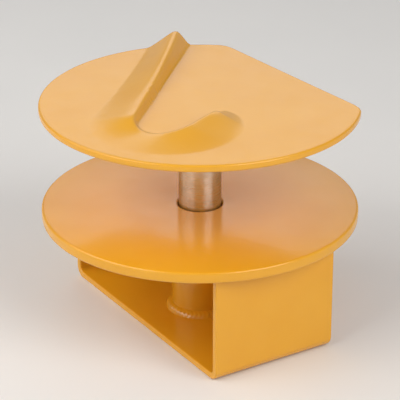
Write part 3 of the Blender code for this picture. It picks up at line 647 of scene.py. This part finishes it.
def lock_barrel():
    profile = [
        (BARREL_BORE, BARREL_MOUTH),
        (BARREL_RADIUS, BARREL_MOUTH),
        (BARREL_RADIUS, BARREL_ROOT),
        (BARREL_BORE, BARREL_ROOT),
    ]
    tube = lathe_mesh("barrel_tube", profile, ALONG_LOCK, 0.55, True, 112)
    cutters = [rod_mesh(SLEEVE_RADIUS - BARREL_COPE, (0, 0, 0), (0, 0, FLANGE_BOTTOM + 5), 96)]
    for at in (BALL_AT, BALL_AT - PUSH_TRAVEL):
        cutters.append(rod_mesh(BALL_HOLE, (-at, 0, LOCK_Z - 12), (-at, 0, LOCK_Z - 6)))
    cutters.append(rod_mesh(STOP_HOLE, (-STOP_AT, 6, LOCK_Z), (-STOP_AT, 12, LOCK_Z)))
    mesh = carve(tube, cutters)
    new_object("barrel_tube", mesh, YELLOW, "base", ["lock_barrel"])

    # The bead follows the saddle where the two tubes meet, open under the disc.
    start, sweep, count = math.radians(-205.0), math.radians(230.0), 150
    corners, sides = [], []
    for i in range(count + 1):
        a = start + sweep * i / count
        y = BARREL_RADIUS * math.cos(a)
        x = -math.sqrt(SLEEVE_RADIUS**2 - y**2)
        corner = Vector((x, y, LOCK_Z + BARREL_RADIUS * math.sin(a)))
        from_lock = Vector((0, math.cos(a), math.sin(a)))
        from_post = Vector((corner.x, corner.y, 0)).normalized()
        up_sleeve = (from_lock - from_post * from_lock.dot(from_post)).normalized()
        up_barrel = (from_post - from_lock * from_post.dot(from_lock)).normalized()
        corners.append(corner)
        sides.append((up_sleeve, up_barrel))
    weld_bead("barrel_bead", corners, sides, BARREL_LEG, False, ["barrel_weld"])


def stop_screw():
    """A headless screw with a hexagon socket and a dog point."""
    axis = Matrix.Translation((-STOP_AT, 0, LOCK_Z)) @ Matrix.Rotation(-math.pi / 2, 4, "X")
    tip, end = low("stop_screw", 1), high("stop_screw", 1)
    point, length = STOP_POINT
    profile = [
        (0, end),
        (STOP_RADIUS, end),
        (STOP_RADIUS, tip + length + 0.2),
        (point, tip + length),
        (point, tip),
        (0, tip),
    ]
    body = lathe_mesh("dog_screw", profile, axis, 0.15, steps=48)
    socket = rod_mesh(0.75, (-STOP_AT, end - 1.2, LOCK_Z), (-STOP_AT, end + 1, LOCK_Z), 6)
    mesh = carve(body, [socket])
    new_object("dog_screw", mesh, LOCK_STEEL, "base", ["stop_screw"])


def return_spring():
    """A wire coil with closed ends."""
    wire = 0.45
    start, end = -high("return_spring", 0) + wire, -low("return_spring", 0) - wire
    radius, turns, around, sides = 5.6, 4.5, 40, 12
    count = round(turns * around)
    lead = 0.75                                     # turns at each end that lie flat
    pitch = (end - start) / (turns - 2 * lead)
    centres = []
    for i in range(count + 1):
        t = turns * i / count
        along = start + pitch * min(max(t - lead, 0.0), turns - 2 * lead)
        centres.append(Vector((radius * math.cos(math.tau * t), radius * math.sin(math.tau * t), along)))
    points, faces = [], []
    for i, centre in enumerate(centres):
        out = Vector((centre.x, centre.y, 0)).normalized()
        for k in range(sides):
            a = math.tau * k / sides
            spoke = out * wire * math.cos(a) + Vector((0, 0, wire * math.sin(a)))
            points.append(ALONG_LOCK @ (centre + spoke))
    for i in range(count):
        for k in range(sides):
            m = (k + 1) % sides
            faces.append((i * sides + k, i * sides + m, (i + 1) * sides + m, (i + 1) * sides + k))
    faces.append(tuple(range(sides)))
    faces.append(tuple(reversed(range(count * sides, (count + 1) * sides))))
    mesh = mesh_from("coil_spring", points, faces)
    smooth(mesh, 50.0)
    made = new_object("coil_spring", mesh, SPRING_STEEL, "base", ["return_spring"])
    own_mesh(made)


# The post

POST_GROOVE = 5.6                       # radius of the post inside its lock groove
POST_GROOVE_HALF = 4.6                  # half the groove's height
POST_GROOVE_EDGE = 0.5
POST_SEAL_FLOOR = 7.88                  # radius of the post under its rubber ring
POST_SEAL_HALF = 0.97
POST_LEAD = 2.2                         # chamfer on its lower end
POST_LEG = 2.4


def locking_post():
    seal_z = (low("post_o_ring", 2) + high("post_o_ring", 2)) / 2
    tip, top = low("locking_post", 2), high("locking_post", 2) + GAP
    groove_top, groove_bottom = LOCK_Z + POST_GROOVE_HALF, LOCK_Z - POST_GROOVE_HALF
    groove_rim = POST_RADIUS - POST_GROOVE_EDGE
    profile = [
        (0, top),
        (POST_RADIUS, top),
        (POST_RADIUS, seal_z + POST_SEAL_HALF),
        (POST_SEAL_FLOOR, seal_z + POST_SEAL_HALF),
        (POST_SEAL_FLOOR, seal_z - POST_SEAL_HALF),
        (POST_RADIUS, seal_z - POST_SEAL_HALF),
        (POST_RADIUS, groove_top + POST_GROOVE_EDGE),
        (groove_rim, groove_top),
        (POST_GROOVE, groove_top),
        (POST_GROOVE, groove_bottom),
        (groove_rim, groove_bottom),
        (POST_RADIUS, groove_bottom - POST_GROOVE_EDGE),
        (POST_RADIUS, tip + POST_LEAD),
        (POST_RADIUS - POST_LEAD, tip),
        (0, tip),
    ]
    mesh = lathe_mesh("turned_post", profile, fillet=0.3, steps=128)
    new_object("turned_post", mesh, POST_STEEL, "top", ["locking_post"])
    ring_bead("post_bead", POST_RADIUS, EYE_TOP, -1, POST_LEG, ["post_weld"], "top")


def rubber_ring(name, node, axis, along_axis, body):
    """A rubber ring whose section is a circle, slightly flattened on its bore."""
    centre = (low(node, along_axis) + high(node, along_axis)) / 2
    at = -centre if along_axis == 0 else centre
    minor = (high(node, along_axis) - low(node, along_axis)) / 2
    major = high(node, 1) - minor
    section = []
    for i in range(20):
        a = math.tau * i / 20
        section.append((major + minor * max(math.cos(a), -0.9), at - minor * math.sin(a)))
    mesh = lathe_mesh(name, section, axis, 0.0, True, 96)
    new_object(name, mesh, RUBBER, body, [node])


# The lock cylinder

SHELL_RADIUS = high("lock_shell", 1)
SHELL_REAR = -high("lock_shell", 0)
SHELL_FRONT = -low("lock_shell", 0)
CAP_FRONT = -low("face_cap", 0)
CAP_REAR = -high("face_cap", 0)
PLUG_FRONT = -low("key_plug", 0)
PLUG_RADIUS = high("key_plug", 1)
PLUG_BORE = PLUG_RADIUS + GAP
PLUG_BORE_END = 28.0                    # where the plug's bore gives way to the cam's wider one
SHELL_NECK = 7.15                       # radius of the shell inside the cap
SHELL_SEAL_FLOOR = 6.3
SHELL_SEAL_HALF = 0.95
SHELL_REAR_BORE = 6.4
CAP_SHEET = 0.45
CAP_EDGE = 0.9


def lock_shell():
    seal = -(low("shell_o_ring", 0) + high("shell_o_ring", 0)) / 2
    step = CAP_REAR - 0.2
    profile = [
        (PLUG_BORE, SHELL_FRONT),
        (SHELL_NECK, SHELL_FRONT),
        (SHELL_NECK, step),
        (SHELL_RADIUS, step),
        (SHELL_RADIUS, seal + SHELL_SEAL_HALF),
        (SHELL_SEAL_FLOOR, seal + SHELL_SEAL_HALF),
        (SHELL_SEAL_FLOOR, seal - SHELL_SEAL_HALF),
        (SHELL_RADIUS, seal - SHELL_SEAL_HALF),
        (SHELL_RADIUS, SHELL_REAR),
        (SHELL_REAR_BORE, SHELL_REAR),
        (SHELL_REAR_BORE, PLUG_BORE_END),
        (PLUG_BORE, PLUG_BORE_END),
    ]
    body = lathe_mesh("cylinder_shell", profile, ALONG_LOCK, 0.25, True, 112)
    half_slot = 1.2
    slot = (
        (-STOP_AT - PUSH_TRAVEL - half_slot, 7.0, LOCK_Z - half_slot),
        (-STOP_AT + half_slot, 9.0, LOCK_Z + half_slot),
    )
    cutters = [rod_mesh(BALL_HOLE, (-BALL_AT, 0, LOCK_Z - 5), (-BALL_AT, 0, LOCK_Z - 10)), box_mesh(*slot)]
    mesh = carve(body, cutters)
    new_object("cylinder_shell", mesh, LOCK_STEEL, "plunger", ["lock_shell"])


def face_cap():
    inside = SHELL_RADIUS - CAP_SHEET
    profile = [
        (PLUG_BORE, CAP_FRONT - 0.15),
        (PLUG_BORE + 0.35, CAP_FRONT),
        (SHELL_RADIUS - CAP_EDGE, CAP_FRONT),
        (SHELL_RADIUS, CAP_FRONT - CAP_EDGE),
        (SHELL_RADIUS, CAP_REAR),
        (inside, CAP_REAR),
        (inside, SHELL_FRONT + GAP),
        (PLUG_BORE, SHELL_FRONT + GAP),
    ]
    mesh = lathe_mesh("pressed_face_cap", profile, ALONG_LOCK, 0.3, True, 112)
    new_object("pressed_face_cap", mesh, CHROME, "plunger", ["face_cap"])


def locking_bolt():
    tip, end = -high("locking_bolt", 0), -low("locking_bolt", 0)
    flange, pin, lead = high("locking_bolt", 1), 4.0, 0.9
    profile = [
        (0, end),
        (flange, end),
        (flange, SHELL_REAR),
        (pin, SHELL_REAR),
        (pin, tip + lead),
        (pin - lead, tip),
        (0, tip),
    ]
    mesh = lathe_mesh("turned_bolt", profile, ALONG_LOCK, 0.3, steps=80)
    new_object("turned_bolt", mesh, LOCK_STEEL, "plunger", ["locking_bolt"])


def key_plug():
    """The plug, with a stepped keyway and the slots that its wafers slide in."""
    rear, shoulder = -high("key_plug", 0), PLUG_BORE_END - GAP
    tail, clip_groove, clip_front, clip_back = 1.6, 1.1, 25.75, 24.75
    profile = [
        (0, PLUG_FRONT),
        (PLUG_RADIUS, PLUG_FRONT),
        (PLUG_RADIUS, shoulder),
        (tail, shoulder),
        (tail, clip_front),
        (clip_groove, clip_front),
        (clip_groove, clip_back),
        (tail, clip_back),
        (tail, rear),
        (0, rear),
    ]
    body = lathe_mesh("slotted_plug", profile, ALONG_LOCK, 0.3, steps=96)
    front, back = -PLUG_FRONT - 1.0, -28.5
    cutters = [
        box_mesh((front, -0.65, LOCK_Z - 2.1), (back, 0.65, LOCK_Z + 3.2)),     # the key's blade
        box_mesh((front, -0.2, LOCK_Z - 0.9), (back, 1.15, LOCK_Z + 0.1)),      # its side ward
        box_mesh((front, -0.9, LOCK_Z - 2.4), (-PLUG_FRONT + 0.35, 0.9, LOCK_Z + 3.45)),    # the mouth
    ]
    half_x, half_y, half_z = 0.7, 2.5, 5.5          # of a wafer's slot
    for i in range(1, 6):
        at = (low(f"wafer_{i}", 0) + high(f"wafer_{i}", 0)) / 2
        lowest, highest = (at - half_x, -half_y, LOCK_Z - half_z), (at + half_x, half_y, LOCK_Z + half_z)
        cutters.append(box_mesh(lowest, highest))
    mesh = carve(body, cutters)
    new_object("slotted_plug", mesh, BRASS, "plug", ["key_plug"])


def detent_ball():
    mesh = bpy.data.meshes.new("steel_ball")
    shape = bmesh.new()
    centre = (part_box("detent_ball")[0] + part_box("detent_ball")[1]) / 2
    radius = (high("detent_ball", 1) - low("detent_ball", 1)) / 2 * MM
    place = Matrix.Translation(centre)
    bmesh.ops.create_icosphere(shape, subdivisions=4, radius=radius, matrix=place)
    shape.to_mesh(mesh)
    shape.free()
    mesh.shade_smooth()
    new_object("steel_ball", mesh, SPRING_STEEL, "ball", ["detent_ball"])


def kept_nodes():
    """Small inner pieces whose CAD shape is right: they only get a finish."""
    finishes = {"plug_cam": LOCK_STEEL, "plug_clip": SPRING_STEEL}
    for i in range(1, 6):
        finishes[f"wafer_{i}"] = BRASS
        finishes[f"wafer_spring_{i}"] = SPRING_STEEL
    for name, material in finishes.items():
        node = frame["nodes"][name]
        node.data.materials.clear()
        node.data.materials.append(material)
        if "spring" not in name:
            bevelled(node, 0.08, 2)


# Stage


def plain_material(name, colour, roughness):
    n = Nodes(name)
    tint = n.ramp(n.noise(0.01, 2.0), colour, tuple(c * 0.985 for c in colour))
    return n.finish(tint, None, None, Roughness=roughness)


def backdrop():
    """A pale floor that sweeps up behind the object."""
    half, front, back, rise, bend = 2.2, -1.8, 0.9, 1.6, 0.7      # in metres
    depth = [(front, 0.0), (back, 0.0)]
    for i in range(1, 13):
        a = math.pi / 2 * i / 12
        depth.append((back + bend * math.sin(a), bend - bend * math.cos(a)))
    depth.append((back + bend, rise))
    turn = Matrix.Rotation(CAMERA_AZIMUTH, 4, "Z")
    points = [turn @ Vector((x, y, z)) for y, z in depth for x in (-half, half)]
    faces = [(2 * i, 2 * i + 1, 2 * i + 3, 2 * i + 2) for i in range(len(depth) - 1)]
    mesh = bpy.data.meshes.new("floor")
    mesh.from_pydata(points, [], faces)
    mesh.shade_smooth()
    mesh.materials.append(plain_material("pale_floor", (0.80, 0.79, 0.77), 0.6))
    floor = bpy.data.objects.new("floor", mesh)
    COLLECTION.objects.link(floor)


def direction(azimuth, elevation):
    """From the object towards a viewer at that azimuth and elevation, in radians."""
    return Vector(
        (
            math.sin(azimuth) * math.cos(elevation),
            -math.cos(azimuth) * math.cos(elevation),
            math.sin(elevation),
        )
    )


CAMERA_AZIMUTH = math.radians(-32.1)
CAMERA_ELEVATION = math.radians(24.8)
CAMERA_DISTANCE = 0.9
CAMERA_LENS = 183.0
LAMP_COLOUR = (1.0, 0.98, 0.95)
LAMP_TARGET = Vector((0, 0, 0.06))


def area_light(name, turn, elevation, distance, size, power):
    """A soft light placed round the object, turned from the camera's azimuth. Angles in degrees."""
    light = bpy.data.lights.new(name, "AREA")
    light.shape = "RECTANGLE"
    light.size, light.size_y = size
    light.energy = power
    light.color = LAMP_COLOUR
    lamp = bpy.data.objects.new(name, light)
    COLLECTION.objects.link(lamp)
    back = direction(CAMERA_AZIMUTH + math.radians(turn), math.radians(elevation))
    lamp.location = LAMP_TARGET + back * distance
    lamp.rotation_euler = back.to_track_quat("Z", "Y").to_euler()


def camera():
    data = bpy.data.cameras.new("camera")
    data.lens = CAMERA_LENS
    data.clip_start = 0.01
    view = bpy.data.objects.new("camera", data)
    COLLECTION.objects.link(view)
    back = direction(CAMERA_AZIMUTH, CAMERA_ELEVATION)
    view.location = Vector((0, 0, (high("top_plate", 2) / 2) * MM)) + back * CAMERA_DISTANCE
    view.rotation_euler = back.to_track_quat("Z", "Y").to_euler()
    bpy.context.scene.camera = view


def lights():
    world = bpy.data.worlds.new("studio")
    bpy.context.scene.world = world
    world.use_nodes = True
    background = world.node_tree.nodes["Background"]
    background.inputs["Color"].default_value = (0.95, 0.95, 0.98, 1.0)
    background.inputs["Strength"].default_value = 0.33
    area_light("left", -52, 36, 1.1, (0.7, 0.7), 5.0)
    area_light("far_left", -92, 38, 1.1, (0.7, 0.7), 3.8)
    area_light("right", 45, 36, 1.1, (0.7, 0.7), 6.8)
    area_light("sheen", 180, 25, 1.15, (0.5, 0.3), 0.44)


top_plate()
lower_flange()
guard_channel()
guard_beads()
sleeve_and_beads()
lock_barrel()
stop_screw()
return_spring()
locking_post()
rubber_ring("post_seal", "post_o_ring", UPRIGHT, 2, "seal")
lock_shell()
face_cap()
locking_bolt()
rubber_ring("shell_seal", "shell_o_ring", ALONG_LOCK, 0, "plunger")
key_plug()
detent_ball()
kept_nodes()
backdrop()
lights()
camera()
bpy.context.scene.view_settings.view_transform = "Standard"

bpy.context.view_layer.update()
